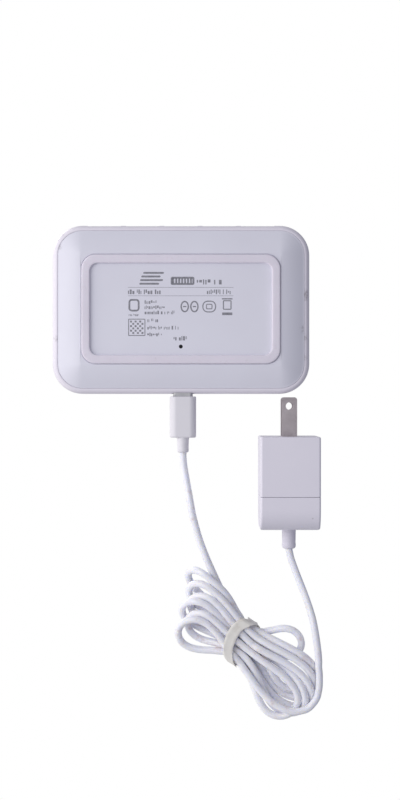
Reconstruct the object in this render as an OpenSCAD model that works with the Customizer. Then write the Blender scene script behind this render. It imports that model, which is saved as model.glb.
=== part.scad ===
// Compact five-port desktop network switch with its USB-C power lead, tied hank and plug-in mains adapter.
// Millimetres, Z up. The switch stands on its foot ring at z = 0, its ports face -Y, its power inlet faces +Y.

/* [Case] */
// Width of the switch, side to side
case_w = 107.16; // [106:0.01:112]
// Depth of the switch, from the ports to the power inlet
case_d = 70.15; // [70:0.01:74]
// Height of the switch, from the table to its top face
case_h = 21.17; // [21:0.01:24]
// Radius of the case corners seen from above
corner_r = 12.5; // [12:0.1:13]
// Thickness of the top cover's side walls
wall = 2.4; // [2.3:0.1:2.6]
// Thickness of the top cover's roof
roof = 2; // [1.6:0.1:2.2]
// Height of the line where the two covers meet
parting_z = 4.6; // [4.5:0.05:4.7]
// How far the bottom cover stands in from the outline
parting_inset = 2; // [1.8:0.1:2.2]
// Radius of the rounded top edge
top_edge_r = 5; // [4:0.5:5]

/* [Foot ring] */
// Width of the foot ring, outside
foot_w = 82.4; // [76:0.2:84]
// Depth of the foot ring, outside
foot_d = 45.2; // [40:0.2:47]
// Width of the band that the ring is made of
foot_band = 3.5; // [3:0.1:5]
// Height of the flat underside of the case above the table
plate_z = 0.8; // [0.6:0.05:0.9]
// Height of the recessed panel inside the ring
panel_z = 1.3; // [1.2:0.05:1.4]
// Radius of the reset pinhole
pinhole_r = 0.8; // [0.7:0.05:1]

/* [Ports] */
// Distance between neighbouring network ports
port_pitch = 16; // [15.9:0.05:16.2]
// Width of the opening for a network plug
socket_w = 11.8; // [11.7:0.1:12]
// Height of the opening for a network plug
socket_h = 7.5; // [7.2:0.1:7.6]
// Depth of the opening for a network plug
socket_depth = 13.3; // [12.5:0.1:14]

/* [Board] */
// Width of the circuit board
board_w = 96; // [95:0.5:96]
// Depth of the circuit board
board_d = 59; // [58:0.5:59]
// Thickness of the circuit board
board_t = 1.6; // [1.4:0.1:1.6]

/* [Power plug] */
// Sideways place of the power inlet
inlet_x = 0.8; // [0:0.1:1]
// Width of the plug's moulded grip
grip_w = 11; // [10:0.1:12]
// Height of the plug's moulded grip
grip_h = 6.2; // [5.6:0.1:6.6]
// Length of the plug's moulded grip
grip_len = 17.2; // [15:0.1:20]
// Diameter of the lead
lead_d = 3; // [2.8:0.1:3.2]

/* [Adapter] */
// Width of the adapter, across the flat of its blades
adapter_w = 25; // [24:0.5:26]
// Depth of the adapter, as it stands on the table
adapter_h = 36; // [34:0.5:40]
// Length of the adapter's front cap
cap_len = 25; // [24:0.5:26]
// Length of the adapter's rear housing
rear_len = 14; // [13:0.5:16]
// Radius of the adapter's rear edges
rear_edge_r = 9; // [6:0.5:10]
// Visible length of a blade
blade_len = 16.5; // [16:0.1:17]

/* [Hidden] */
$fn = 48;
cut = 1;                 // overrun of a cutting tool past a face
fit_gap = 0.05;          // assembly clearance between pieces of one body

// Case
curl_h = 3.4;            // height over which the top cover curls in to the parting line
seam_gap = 0.15;         // gap of the parting line
cover_r = corner_r - parting_inset - seam_gap;
tray_wall = 2.75;        // rim of the bottom cover
floor_z = 2.9;           // inner face of the bottom cover
rim_h = 1.2;             // locating rim of the bottom cover, above the parting line
rim_t = 1.1;
foot_gap = 0.25;         // gap between the ring and its pocket
foot_r = 6;
centre_x = case_w / 2 - corner_r;
centre_y = case_d / 2 - corner_r;
plate_r = 0.4;           // corner radius of the flat underside
slope_share = 0.52;      // share of the bottom cover's rise that is a straight slope, the rest curving up
tray_floor_r = 2.4;      // where the inner floor starts to rise

// Board and what stands on it
board_z = parting_z - 0.2;
board_top = board_z + board_t;
board_corner_r = 7;
post_x = 42;
post_ys = [-9, 20];
post_r = 2.6;
screw_r = 1.2;
screw_gap = 0.1;
screw_len = 5;
screw_head_r = 2.2;
screw_head_h = 1.1;

// Ports
ports = [-2:2];
nose_w = 13.6;
nose_h = 10.6;
nose_y = -case_d / 2 + 0.3;
jack_y = -case_d / 2 + wall + 1.2;   // clear of the top cover's rounded roof edge
jack_w = 15.2;
jack_depth = 19;
jack_h = 12.2;
jack_z = board_top;
window_gap = 0.15;
window_r = 0.8;
socket_z = jack_z + 2.4;
notch_w = 6.4;
notch_h = 1.8;
notch_depth = 8;
light_w = 2.4;
light_h = 1.4;
light_depth = 1;
light_x = 5;
light_z = jack_z + 0.5;
shield_t = 0.25;
contact_count = 8;
contact_pitch = 1.02;
contact_w = 0.45;
contact_t = 0.35;

// Power inlet and plug
inlet_w = 8.94;
inlet_h = 3.26;
inlet_t = 0.25;
inlet_len = 7.3;
inlet_z = board_top + inlet_h / 2;
inlet_y = case_d / 2 - 0.7 - inlet_len;
tongue_w = 6.7;
tongue_t = 0.7;
tongue_len = 4.4;
plug_w = 8.25;
plug_h = 2.4;
plug_t = 0.3;
plug_len = 6.65;
grip_y = case_d / 2 + 1.1;
grip_edge_r = 2.8;
neck_r = 2.5;
neck_len = 6.2;
neck_y = grip_y + grip_len;
lead_y = neck_y + neck_len;

// Reset switch
reset_y = 15.5;
reset_size = 4;
reset_drop = 1.1;
plunger_r = 1;
plunger_bore_r = 1.1;
plunger_z = 3.2;
plunger_h = 0.7;
reset_travel = 0.25;

// Adapter
adapter_x = 45.5;
adapter_y = 53;
adapter_t = 1.8;
adapter_edge_r = 1.2;
cap_end_y = adapter_y + cap_len;
rear_end_y = cap_end_y + rear_len;
adapter_mid_z = adapter_h / 2;
blade_w = 6.35;
blade_t = 1.5;
blade_pitch = 12.7;
blade_root = 7;
blade_hole_r = 1.6;
blade_hole_back = 3.7;
gland_r = 3.1;
gland_tip_r = 2.4;
gland_len = 8.5;
gland_collar_r = 4.8;
gland_collar_t = 1.6;
gland_end_y = rear_end_y + gland_len;

// Route of the lead, by hand: from the plug down to the table, then on to the hank
plug_route = [
  [inlet_x, lead_y, inlet_z], [1, 64, 7.2], [2, 70, 5.2], [3.5, 78, 2.6], [5, 86, 1.5], [7.5, 95, 1.5],
  [10.5, 103, 1.8], [14, 111, 3.6], [18, 119.5, 6]
];
// From the adapter down to the table, then along the hank's side
adapter_route = [
  [adapter_x, gland_end_y, adapter_mid_z], [46.5, 105, 17], [49, 112, 12.2], [52, 120, 6.2], [54.5, 128, 2.5],
  [56, 136, 1.5], [57, 144, 1.5], [57, 149, 1.5]
];
route_steps = 2;         // rings per stretch of the route
lead_sides = 8;

// Hank: the tie's centre and heading, the loops on both sides of it
tie_x = 25.5;
tie_y = 138.5;
tie_turn = 33;
tie_len = 4.6;
tie_t = 0.9;
bundle_w = 18;
bundle_h = 8.6;
hank_h = 14;
hank_upper = [[4.5, 111.5, 4.5], [3.5, 129, 4], [16, 118, 5], [25.5, 138.5, 9.5]];
hank_lower = [[25.5, 138.5, 9.5], [48, 138.5, 4], [51.5, 152, 5], [48.5, 164, 5], [43.5, 168, 4], [33, 158, 5]];

// Points of an elliptical arc in a profile
function arc(centre, rx, ry, from, to, steps) =
  [for (i = [0:steps]) let (a = from + (to - from) * i / steps)
    [centre[0] + rx * cos(a), centre[1] + ry * sin(a)]];

function unit(v) = v / norm(v);

// Point at parameter t on the smooth curve through p1 and p2, shaped by their neighbours
function spline(p0, p1, p2, p3, t) =
  0.5 * (2 * p1 + (p2 - p0) * t + (2 * p0 - 5 * p1 + 4 * p2 - p3) * t * t
    + (3 * p1 - p0 - 3 * p2 + p3) * t * t * t);

// A route's points with more points between them
function smooth(route, steps) =
  let (last = len(route) - 1)
  [for (i = [0:last]) for (s = [0:(i < last ? steps - 1 : 0)])
    i == last ? route[last]
    : spline(route[max(i - 1, 0)], route[i], route[i + 1], route[min(i + 2, last)], s / steps)];

// Round tube along a list of points that never run straight up
module tube(points, radius, sides) {
  last = len(points) - 1;
  rings = [for (i = [0:last])
    let (ahead = unit(points[min(i + 1, last)] - points[max(i - 1, 0)]),
         side = unit(cross(ahead, [0, 0, 1])),
         up = cross(side, ahead))
    for (k = [0:sides - 1]) let (a = 360 * (k + 0.5) / sides)
      points[i] + radius * (cos(a) * side + sin(a) * up)];
  walls = [for (i = [0:last - 1], k = [0:sides - 1])
    let (a = i * sides + k, b = i * sides + (k + 1) % sides)
    each [[a, b, a + sides], [b, b + sides, a + sides]]];
  ends = [[for (k = [sides - 1:-1:0]) k], [for (k = [0:sides - 1]) last * sides + k]];
  polyhedron(points = rings, faces = concat(walls, ends));
}

// Solid from y0 to y1 whose outline is drawn in X and Z
module along_y(y0, y1) {
  translate([0, y1, 0]) rotate([90, 0, 0]) linear_extrude(y1 - y0) children();
}

// Solid from x0 to x1 whose outline is drawn in Y and Z
module along_x(x0, x1) {
  translate([x0, 0, 0]) rotate([90, 0, 90]) linear_extrude(x1 - x0) children();
}

// Rectangle with round corners, centred
module round_rect(w, d, r) {
  square([w - 2 * r, d], center = true);
  square([w, d - 2 * r], center = true);
  for (sx = [-1, 1], sy = [-1, 1]) translate([sx * (w / 2 - r), sy * (d / 2 - r)]) circle(r);
}

// Block from z0 to z1 with round upright edges
module round_block(w, d, r, z0, z1) {
  translate([0, 0, z0]) linear_extrude(z1 - z0) round_rect(w, d, r);
}

// Block given by its low corner and its size
module block(x, y, z, w, d, h) {
  translate([x, y, z]) cube([w, d, h]);
}

module case_solid(profile) {
  hull() for (sx = [-1, 1], sy = [-1, 1])
    translate([sx * centre_x, sy * centre_y, 0]) rotate_extrude() polygon(profile);
}

// Rounded block following the case outline with corners of radius r
module case_block(r, z0, z1) {
  round_block(2 * (centre_x + r), 2 * (centre_y + r), r, z0, z1);
}

module at_ports() {
  for (i = ports) translate([i * port_pitch, 0, 0]) children();
}

module at_posts() {
  for (side = [-1, 1], y = post_ys) translate([side * post_x, y, 0]) children();
}

module top_cover() {
  outer = concat([[0, parting_z]],
    arc([corner_r - parting_inset, parting_z + curl_h], parting_inset, curl_h, -90, 0, 6),
    arc([corner_r - top_edge_r, case_h - top_edge_r], top_edge_r, top_edge_r, 0, 90, 8),
    [[0, case_h]]);
  inner = concat([[0, parting_z - cut], [corner_r - wall, parting_z - cut]],
    arc([corner_r - top_edge_r, case_h - top_edge_r], top_edge_r - wall, top_edge_r - roof, 0, 90, 5),
    [[0, case_h - roof]]);
  color("whitesmoke") {
    difference() {
      case_solid(outer);
      case_solid(inner);
      at_ports() along_y(-case_d / 2 - cut, jack_y)
        translate([0, jack_z + nose_h / 2]) round_rect(nose_w + 2 * window_gap, nose_h + 2 * window_gap, window_r);
      along_y(case_d / 2 - wall - cut, case_d / 2 + cut)
        translate([inlet_x, inlet_z]) round_rect(inlet_w + 0.5, inlet_h + 0.5, inlet_h / 2);
    }
    at_posts() difference() {
      translate([0, 0, board_top]) cylinder(r = post_r, h = case_h - roof - board_top + 0.5);
      translate([0, 0, board_top - cut]) cylinder(r = screw_r + fit_gap, h = screw_len + cut);
    }
  }
}

module bottom_cover() {
  steps = 8;
  slope = [for (i = [0:steps]) let (t = i / steps, rise = slope_share * t + (1 - slope_share) * t * t)
    [plate_r + t * (cover_r - plate_r), plate_z + rise * (parting_z - plate_z)]];
  outer = concat([[0, plate_z]], slope, [[0, parting_z]]);
  inner = [[0, floor_z], [tray_floor_r, floor_z], [cover_r - tray_wall, parting_z],
    [cover_r - tray_wall, parting_z + cut], [0, parting_z + cut]];
  rim_r = corner_r - wall - seam_gap;
  color("gainsboro") difference() {
    union() {
      case_solid(outer);
      case_block(rim_r, parting_z - 0.4, parting_z + rim_h);
    }
    case_block(rim_r - rim_t, parting_z, parting_z + rim_h + cut);
    case_solid(inner);
    round_block(foot_w + 2 * foot_gap, foot_d + 2 * foot_gap, foot_r + foot_gap, plate_z - cut, panel_z);
    translate([0, reset_y, 0]) cylinder(r = pinhole_r, h = floor_z + cut);
  }
}

module foot_ring() {
  color("mistyrose") difference() {
    round_block(foot_w, foot_d, foot_r, 0, panel_z);
    round_block(foot_w - 2 * foot_band, foot_d - 2 * foot_band, foot_r - foot_band + 1, -cut, panel_z + cut);
  }
}

module main_board() {
  color("seagreen") difference() {
    round_block(board_w, board_d, board_corner_r, board_z, board_top);
    at_posts() translate([0, 0, board_z - cut]) cylinder(r = screw_r + screw_gap, h = board_t + 2 * cut);
  }
}

module board_screws() {
  color("silver") at_posts() {
    translate([0, 0, board_z - screw_head_h]) cylinder(r = screw_head_r, h = screw_head_h);
    translate([0, 0, board_z]) cylinder(r = screw_r, h = board_t + screw_len - 0.4);
  }
}

module port_jack(i) {
  color("white") translate([i * port_pitch, 0, 0]) difference() {
    union() {
      along_y(nose_y, jack_y) translate([0, jack_z + nose_h / 2]) round_rect(nose_w, nose_h, window_r);
      block(-jack_w / 2, jack_y, jack_z, jack_w, jack_depth, jack_h);
    }
    block(-socket_w / 2, nose_y - cut, socket_z, socket_w, socket_depth + cut, socket_h);
    block(-notch_w / 2, nose_y - cut, socket_z - notch_h, notch_w, notch_depth + cut, notch_h + cut);
    for (s = [-1, 1])
      block(s * light_x - light_w / 2, nose_y - cut, light_z, light_w, light_depth + cut, light_h);
  }
}

module port_contacts(i) {
  top = socket_z + socket_h;
  first = -contact_pitch * (contact_count - 1) / 2;
  color("gold") translate([i * port_pitch, 0, 0]) for (k = [0:contact_count - 1])
    along_x(first + k * contact_pitch - contact_w / 2, first + k * contact_pitch + contact_w / 2)
      polygon([[nose_y + 2, top], [nose_y + 3, top], [nose_y + 10, top - 2 + contact_t], [nose_y + 10, top - 2]]);
}

module port_shields() {
  gap = 0.05;
  color("silver") at_ports() difference() {
    block(-jack_w / 2 - gap - shield_t, jack_y + 1, jack_z,
      jack_w + 2 * (gap + shield_t), jack_depth + gap + shield_t - 1, jack_h + gap + shield_t);
    block(-jack_w / 2 - gap, jack_y, jack_z - cut, jack_w + 2 * gap, jack_depth + gap, jack_h + gap + cut);
  }
}

module port_lights() {
  gap = 0.05;
  color("honeydew") at_ports() for (s = [-1, 1])
    block(s * light_x - light_w / 2 + gap, nose_y, light_z + gap, light_w - 2 * gap, light_depth, light_h - 2 * gap);
}

// Metal sleeve along Y, open at both ends
module sleeve(w, h, t, y0, y1) {
  difference() {
    along_y(y0, y1) translate([inlet_x, inlet_z]) round_rect(w, h, h / 2 - 0.01);
    along_y(y0 - cut, y1 + cut) translate([inlet_x, inlet_z])
      round_rect(w - 2 * t, h - 2 * t, h / 2 - t - 0.01);
  }
}

module inlet_shell() {
  color("silver") sleeve(inlet_w, inlet_h, inlet_t, inlet_y, inlet_y + inlet_len);
}

module inlet_tongue() {
  back_t = 0.8;
  color("dimgray") {
    along_y(inlet_y, inlet_y + back_t) translate([inlet_x, inlet_z])
      round_rect(inlet_w - 2 * inlet_t, inlet_h - 2 * inlet_t, inlet_h / 2 - inlet_t - 0.01);
    block(inlet_x - tongue_w / 2, inlet_y + back_t, inlet_z - tongue_t / 2, tongue_w, tongue_len, tongue_t);
  }
}

module switch_chip() {
  color("black") block(-7, 1, board_top, 14, 14, 1.2);
}

module thermal_pad() {
  color("lightblue") block(-6.5, 1.5, board_top + 1.2, 13, 13, 0.8);
}

module heat_sink() {
  size = 22;
  base_t = 1.6;
  fin_t = 1.4;
  fin_pitch = 3.4;
  color("darkgray") translate([-size / 2, 8 - size / 2, board_top + 2]) {
    cube([size, size, base_t]);
    for (x = [0:fin_pitch:size - fin_t]) translate([x, 0, 0]) cube([fin_t, size, 7]);
  }
}

module line_transformers() {
  color("black") at_ports() block(-6.4, -11.6, board_top, 12.8, 7, 4.2);
}

module clock_crystal() {
  color("silver") block(15, 16, board_top, 5, 3.2, 1);
}

module power_inductors() {
  color("dimgray") for (x = [-24, -16]) block(x - 3, 19, board_top, 6, 6, 3);
}

module board_capacitors() {
  color("slategray") for (p = [[-33, 6], [-33, 14], [24, 22], [32, 22]])
    translate([p[0], p[1], board_top]) cylinder(r = 2.5, h = 5.4);
}

module regulator_chip() {
  color("black") block(-35, 20, board_top, 5, 4, 1.4);
}

module reset_switch_body() {
  color("dimgray") difference() {
    block(-reset_size / 2, reset_y - reset_size / 2, board_z - reset_drop, reset_size, reset_size, reset_drop);
    translate([0, reset_y, board_z - reset_drop - cut])
      cylinder(r = plunger_bore_r, h = cut + plunger_z + plunger_h + reset_travel + fit_gap - board_z + reset_drop);
  }
}

module reset_plunger() {
  color("ivory") translate([0, reset_y, plunger_z]) cylinder(r = plunger_r, h = plunger_h);
}

module plug_shell() {
  color("silver") sleeve(plug_w, plug_h, plug_t, grip_y - plug_len, grip_y);
}

module plug_core() {
  color("black") difference() {
    along_y(grip_y - plug_len + 0.3, grip_y) translate([inlet_x, inlet_z])
      round_rect(plug_w - 2 * plug_t - 0.06, plug_h - 2 * plug_t - 0.06, 0.8);
    block(inlet_x - tongue_w / 2 - 0.1, grip_y - plug_len - cut, inlet_z - tongue_t / 2 - 0.1,
      tongue_w + 0.2, plug_len - 1, tongue_t + 0.2);
  }
}

module plug_grip() {
  color("white") along_y(grip_y, grip_y + grip_len) translate([inlet_x, inlet_z])
    round_rect(grip_w, grip_h, grip_edge_r);
}

module plug_neck() {
  color("white") translate([inlet_x, neck_y, inlet_z]) rotate([-90, 0, 0]) cylinder(r = neck_r, h = neck_len);
}

module lead_plug_end() {
  color("white") tube(smooth(plug_route, route_steps), lead_d / 2, lead_sides);
}

module lead_adapter_end() {
  color("white") tube(smooth(adapter_route, route_steps), lead_d / 2, lead_sides);
}

module at_tie() {
  translate([tie_x, tie_y, 0]) rotate([0, 0, tie_turn]) children();
}

// Closed strap around the bundle, with the given slack and thickness
module strap(len, slack, t) {
  middle = tie_t + bundle_h / 2;
  at_tie() translate([-len / 2, 0, 0]) difference() {
    along_x(0, len) translate([0, middle]) round_rect(bundle_w + 2 * t, bundle_h + 2 * t, 3);
    along_x(-cut, len + cut) translate([0, middle]) round_rect(bundle_w - slack, bundle_h - slack, 2.5);
  }
}

module hank_lobe(circles) {
  linear_extrude(hank_h) hull() for (c = circles) translate([c[0], c[1]]) circle(c[2], $fn = 32);
}

module lead_hank() {
  color("white") difference() {
    union() {
      hank_lobe(hank_upper);
      hank_lobe(hank_lower);
    }
    strap(tie_len + 0.2, 0.2, 8);
  }
}

module hank_tie() {
  color("ivory") strap(tie_len, 0, tie_t);
}

module adapter_gland() {
  color("white") translate([adapter_x, rear_end_y, adapter_mid_z]) rotate([-90, 0, 0]) {
    cylinder(r = gland_r, h = 0.6 * gland_len);
    translate([0, 0, 0.6 * gland_len]) cylinder(r = gland_tip_r, h = 0.4 * gland_len);
    translate([0, 0, -adapter_t]) cylinder(r = gland_collar_r - 0.1, h = adapter_t);
  }
}

// Side outline of the adapter from y0 to y1, standing in by a margin, with rear corners of radius r
module adapter_outline(y0, y1, margin, r) {
  translate([y0, margin]) difference() {
    union() {
      square([y1 - y0 - r, adapter_h - 2 * margin]);
      translate([0, r]) square([y1 - y0, adapter_h - 2 * margin - 2 * r]);
      for (z = [r, adapter_h - 2 * margin - r]) translate([y1 - y0 - r, z]) circle(r);
    }
    translate([-2 * r - cut, -cut]) square([2 * r + cut, adapter_h + 2 * cut]);
  }
}

module adapter_rear() {
  left = adapter_x - adapter_w / 2;
  right = adapter_x + adapter_w / 2;
  color("white") difference() {
    along_x(left, right) adapter_outline(cap_end_y, rear_end_y, 0, rear_edge_r);
    along_x(left + adapter_t, right - adapter_t)
      adapter_outline(cap_end_y - cut, rear_end_y - adapter_t, adapter_t, rear_edge_r - adapter_t);
    translate([adapter_x, rear_end_y + cut, adapter_mid_z]) rotate([90, 0, 0])
      cylinder(r = gland_collar_r, h = adapter_t + 2 * cut);
  }
}

module adapter_cap() {
  seam = 0.1;
  color("white") difference() {
    along_y(adapter_y, cap_end_y - seam) translate([adapter_x, adapter_mid_z])
      round_rect(adapter_w, adapter_h, adapter_edge_r);
    block(adapter_x - adapter_w / 2 + adapter_t, adapter_y + adapter_t, adapter_t,
      adapter_w - 2 * adapter_t, cap_len + cut, adapter_h - 2 * adapter_t);
    for (s = [-1, 1])
      block(adapter_x - blade_w / 2 - fit_gap, adapter_y - cut, adapter_mid_z + s * blade_pitch / 2 - blade_t / 2 - fit_gap,
        blade_w + 2 * fit_gap, adapter_t + 2 * cut, blade_t + 2 * fit_gap);
  }
}

module blade(s) {
  tip_r = 1.2;
  length = blade_len + blade_root;
  color("silver") translate([adapter_x, adapter_y - blade_len, adapter_mid_z + s * blade_pitch / 2 - blade_t / 2])
    difference() {
      linear_extrude(blade_t) union() {
        translate([-blade_w / 2, tip_r]) square([blade_w, length - tip_r]);
        translate([-blade_w / 2 + tip_r, 0]) square([blade_w - 2 * tip_r, length]);
        for (x = [-1, 1]) translate([x * (blade_w / 2 - tip_r), tip_r]) circle(tip_r);
      }
      translate([0, blade_hole_back, -cut]) cylinder(r = blade_hole_r, h = blade_t + 2 * cut);
    }
}

module adapter_board() {
  color("seagreen") block(adapter_x - adapter_w / 2 + 2.4, adapter_y + 10, 2.6, 1.6, 22, adapter_h - 5.2);
}

adapter_board_face = adapter_x - adapter_w / 2 + 4;

module adapter_transformer() {
  color("gold") block(adapter_board_face, cap_end_y - 11, 11, 14, 14, 15);
}

module input_capacitor() {
  color("black") translate([adapter_board_face, adapter_y + 16, 6.5]) rotate([0, 90, 0]) cylinder(r = 3.5, h = 14);
}

module output_capacitor() {
  color("slategray") translate([adapter_board_face, cap_end_y + 3, 6.5]) rotate([0, 90, 0]) cylinder(r = 3.5, h = 11);
}

module safety_fuse() {
  color("burlywood") translate([adapter_board_face, adapter_y + 14, 30.5]) rotate([0, 90, 0]) cylinder(r = 2.5, h = 9);
}

top_cover();
bottom_cover();
foot_ring();
main_board();
board_screws();
port_jack(-2);  // port_jack_1
port_jack(-1);  // port_jack_2
port_jack(0);  // port_jack_3
port_jack(1);  // port_jack_4
port_jack(2);  // port_jack_5
port_contacts(-2);  // port_contacts_1
port_contacts(-1);  // port_contacts_2
port_contacts(0);  // port_contacts_3
port_contacts(1);  // port_contacts_4
port_contacts(2);  // port_contacts_5
port_shields();
port_lights();
inlet_shell();
inlet_tongue();
switch_chip();
thermal_pad();
heat_sink();
line_transformers();
clock_crystal();
power_inductors();
board_capacitors();
regulator_chip();
reset_switch_body();
reset_plunger();
plug_shell();
plug_core();
plug_grip();
plug_neck();
lead_plug_end();
lead_hank();
hank_tie();
lead_adapter_end();
adapter_gland();
adapter_rear();
adapter_cap();
blade(-1);  // blade_lower
blade(1);  // blade_upper
adapter_board();
adapter_transformer();
input_capacitor();
output_capacitor();
safety_fuse();
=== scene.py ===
"""Looks of a compact five-port network switch with its power lead, tied hank and plug-in adapter.

Every piece is in metres, in the CAD frame: Z up, the switch on its foot ring at z = 0, ports on -Y.
The camera looks up from below the surface that the object lies on, which only shows from above.
"""

import math
import random

import bmesh
import bpy
import numpy as np
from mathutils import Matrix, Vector


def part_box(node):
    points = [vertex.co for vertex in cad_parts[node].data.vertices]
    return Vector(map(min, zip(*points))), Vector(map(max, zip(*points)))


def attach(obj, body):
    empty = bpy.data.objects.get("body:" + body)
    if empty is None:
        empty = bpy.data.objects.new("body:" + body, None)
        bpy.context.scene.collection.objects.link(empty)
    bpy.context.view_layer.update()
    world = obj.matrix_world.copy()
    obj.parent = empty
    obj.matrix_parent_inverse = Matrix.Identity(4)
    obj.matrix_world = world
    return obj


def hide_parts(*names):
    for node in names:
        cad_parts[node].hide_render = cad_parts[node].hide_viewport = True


MM = 0.001

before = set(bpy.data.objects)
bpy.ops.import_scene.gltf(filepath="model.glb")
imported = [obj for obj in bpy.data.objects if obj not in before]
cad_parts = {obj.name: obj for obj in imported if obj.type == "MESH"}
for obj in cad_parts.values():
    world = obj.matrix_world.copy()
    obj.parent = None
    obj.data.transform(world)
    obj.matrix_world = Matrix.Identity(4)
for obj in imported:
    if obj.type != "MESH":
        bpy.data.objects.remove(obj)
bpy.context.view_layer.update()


def box_mm(node):
    low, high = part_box(node)
    return low / MM, high / MM


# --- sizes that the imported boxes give, and the profile numbers that they don't, in mm

CASE_LOW, CASE_HIGH = box_mm("top_cover")
CASE_HALF = (CASE_HIGH.x, CASE_HIGH.y)
CASE_TOP = CASE_HIGH.z
PARTING_Z = CASE_LOW.z
PLATE_Z = box_mm("bottom_cover")[0].z
FOOT_HIGH = box_mm("foot_ring")[1]
FOOT_HALF = (FOOT_HIGH.x, FOOT_HIGH.y)
PANEL_Z = FOOT_HIGH.z
CORNER_R = 12.5
PARTING_INSET = 2.0
CURL_H = 3.4
LIP_INSET = 2.38
TOP_EDGE_R = 5.0
WALL = 2.4
ROOF = 2.0
PLATE_R = 0.4
SLOPE_SHARE = 0.52
FLOOR_Z = 2.9
FOOT_R = 6.0
FOOT_BAND = 3.5
FOOT_INNER_R = 3.5
FOOT_GAP = 0.25
PINHOLE_Y = 15.5
PINHOLE_R = 0.8
PORT_PITCH = 16.0
PORT_INDEXES = (-2, -1, 0, 1, 2)
NOSE_SIZE = (13.9, 10.9)
NOSE_Z = 11.3
INLET_SIZE = (9.44, 3.76)
GRIP_LOW, GRIP_HIGH = box_mm("plug_grip")
INLET_X = (GRIP_LOW.x + GRIP_HIGH.x) / 2
INLET_Z = (GRIP_LOW.z + GRIP_HIGH.z) / 2
NECK_LOW, NECK_HIGH = box_mm("plug_neck")
CAP_LOW, CAP_HIGH = box_mm("adapter_cap")
REAR_LOW, REAR_HIGH = box_mm("adapter_rear")
GLAND_HIGH = box_mm("adapter_gland")[1]
REAR_EDGE_R = 9.0
ADAPTER_X = (CAP_LOW.x + CAP_HIGH.x) / 2
ADAPTER_Z = (CAP_LOW.z + CAP_HIGH.z) / 2
LEAD_D = 3.0
LEAD_R = LEAD_D / 2


# --- camera and light

CAMERA_AT = (7.93, 37.65, -781.0)
CAMERA_LENS = 85.0

camera_data = bpy.data.cameras.new("camera")
camera_data.lens = CAMERA_LENS
camera_data.sensor_width = 36.0
camera_data.clip_start = 0.01
camera_data.clip_end = 20.0
camera = bpy.data.objects.new("camera", camera_data)
camera.location = Vector(CAMERA_AT) * MM
camera.rotation_euler = (math.pi, 0, 0)
bpy.context.scene.collection.objects.link(camera)
bpy.context.scene.camera = camera
bpy.context.scene.view_settings.view_transform = "Standard"


def area_light(name, at, target, size, power, colour):
    data = bpy.data.lights.new(name, "AREA")
    data.shape = "DISK"
    data.size = size
    data.energy = power
    data.color = colour
    light = bpy.data.objects.new(name, data)
    light.location = at
    aim = Vector(target) - Vector(at)
    light.rotation_euler = aim.to_track_quat("-Z", "Y").to_euler()
    light.visible_camera = False
    bpy.context.scene.collection.objects.link(light)
    return light


MIDDLE = (0.01, 0.05, 0.01)
key_left = area_light("key_left", (-0.6, 0.03, -0.22), MIDDLE, 0.4, 1.08, (1.0, 0.965, 0.91))
key_left.visible_glossy = False     # it would glare along the slope in low views from +X
area_light("fill_below", (-0.42, -0.12, -0.5), MIDDLE, 0.5, 1.3, (0.985, 0.985, 1.0))
area_light("key_above", (-0.55, -0.45, 0.8), MIDDLE, 0.5, 3.0, (1.0, 0.99, 0.98))


def make_world():
    """White to the camera; to the object, a soft light that falls off from -X to +X."""
    world = bpy.data.worlds.new("studio")
    bpy.context.scene.world = world
    world.use_nodes = True
    nodes, links = world.node_tree.nodes, world.node_tree.links
    nodes.clear()
    out = nodes.new("ShaderNodeOutputWorld")
    mix = nodes.new("ShaderNodeMixShader")
    path = nodes.new("ShaderNodeLightPath")
    white = nodes.new("ShaderNodeBackground")
    white.inputs["Color"].default_value = (1, 1, 1, 1)
    soft = nodes.new("ShaderNodeBackground")
    coords = nodes.new("ShaderNodeTexCoord")
    split = nodes.new("ShaderNodeSeparateXYZ")
    ramp = nodes.new("ShaderNodeValToRGB")
    ramp.color_ramp.elements[0].position = 0.0
    ramp.color_ramp.elements[0].color = (1.0, 0.99, 1.0, 1)
    ramp.color_ramp.elements[1].position = 1.0
    ramp.color_ramp.elements[1].color = (0.28, 0.29, 0.35, 1)
    spread = nodes.new("ShaderNodeMapRange")
    spread.inputs["From Min"].default_value = -1.0
    spread.inputs["From Max"].default_value = 1.0
    soft.inputs["Strength"].default_value = WORLD_STRENGTH
    links.new(coords.outputs["Generated"], split.inputs[0])
    links.new(split.outputs["X"], spread.inputs["Value"])
    links.new(spread.outputs["Result"], ramp.inputs["Fac"])
    links.new(ramp.outputs["Color"], soft.inputs["Color"])
    links.new(path.outputs["Is Camera Ray"], mix.inputs["Fac"])
    links.new(soft.outputs[0], mix.inputs[1])
    links.new(white.outputs[0], mix.inputs[2])
    links.new(mix.outputs[0], out.inputs["Surface"])


WORLD_STRENGTH = 0.82
make_world()


# --- materials


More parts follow.
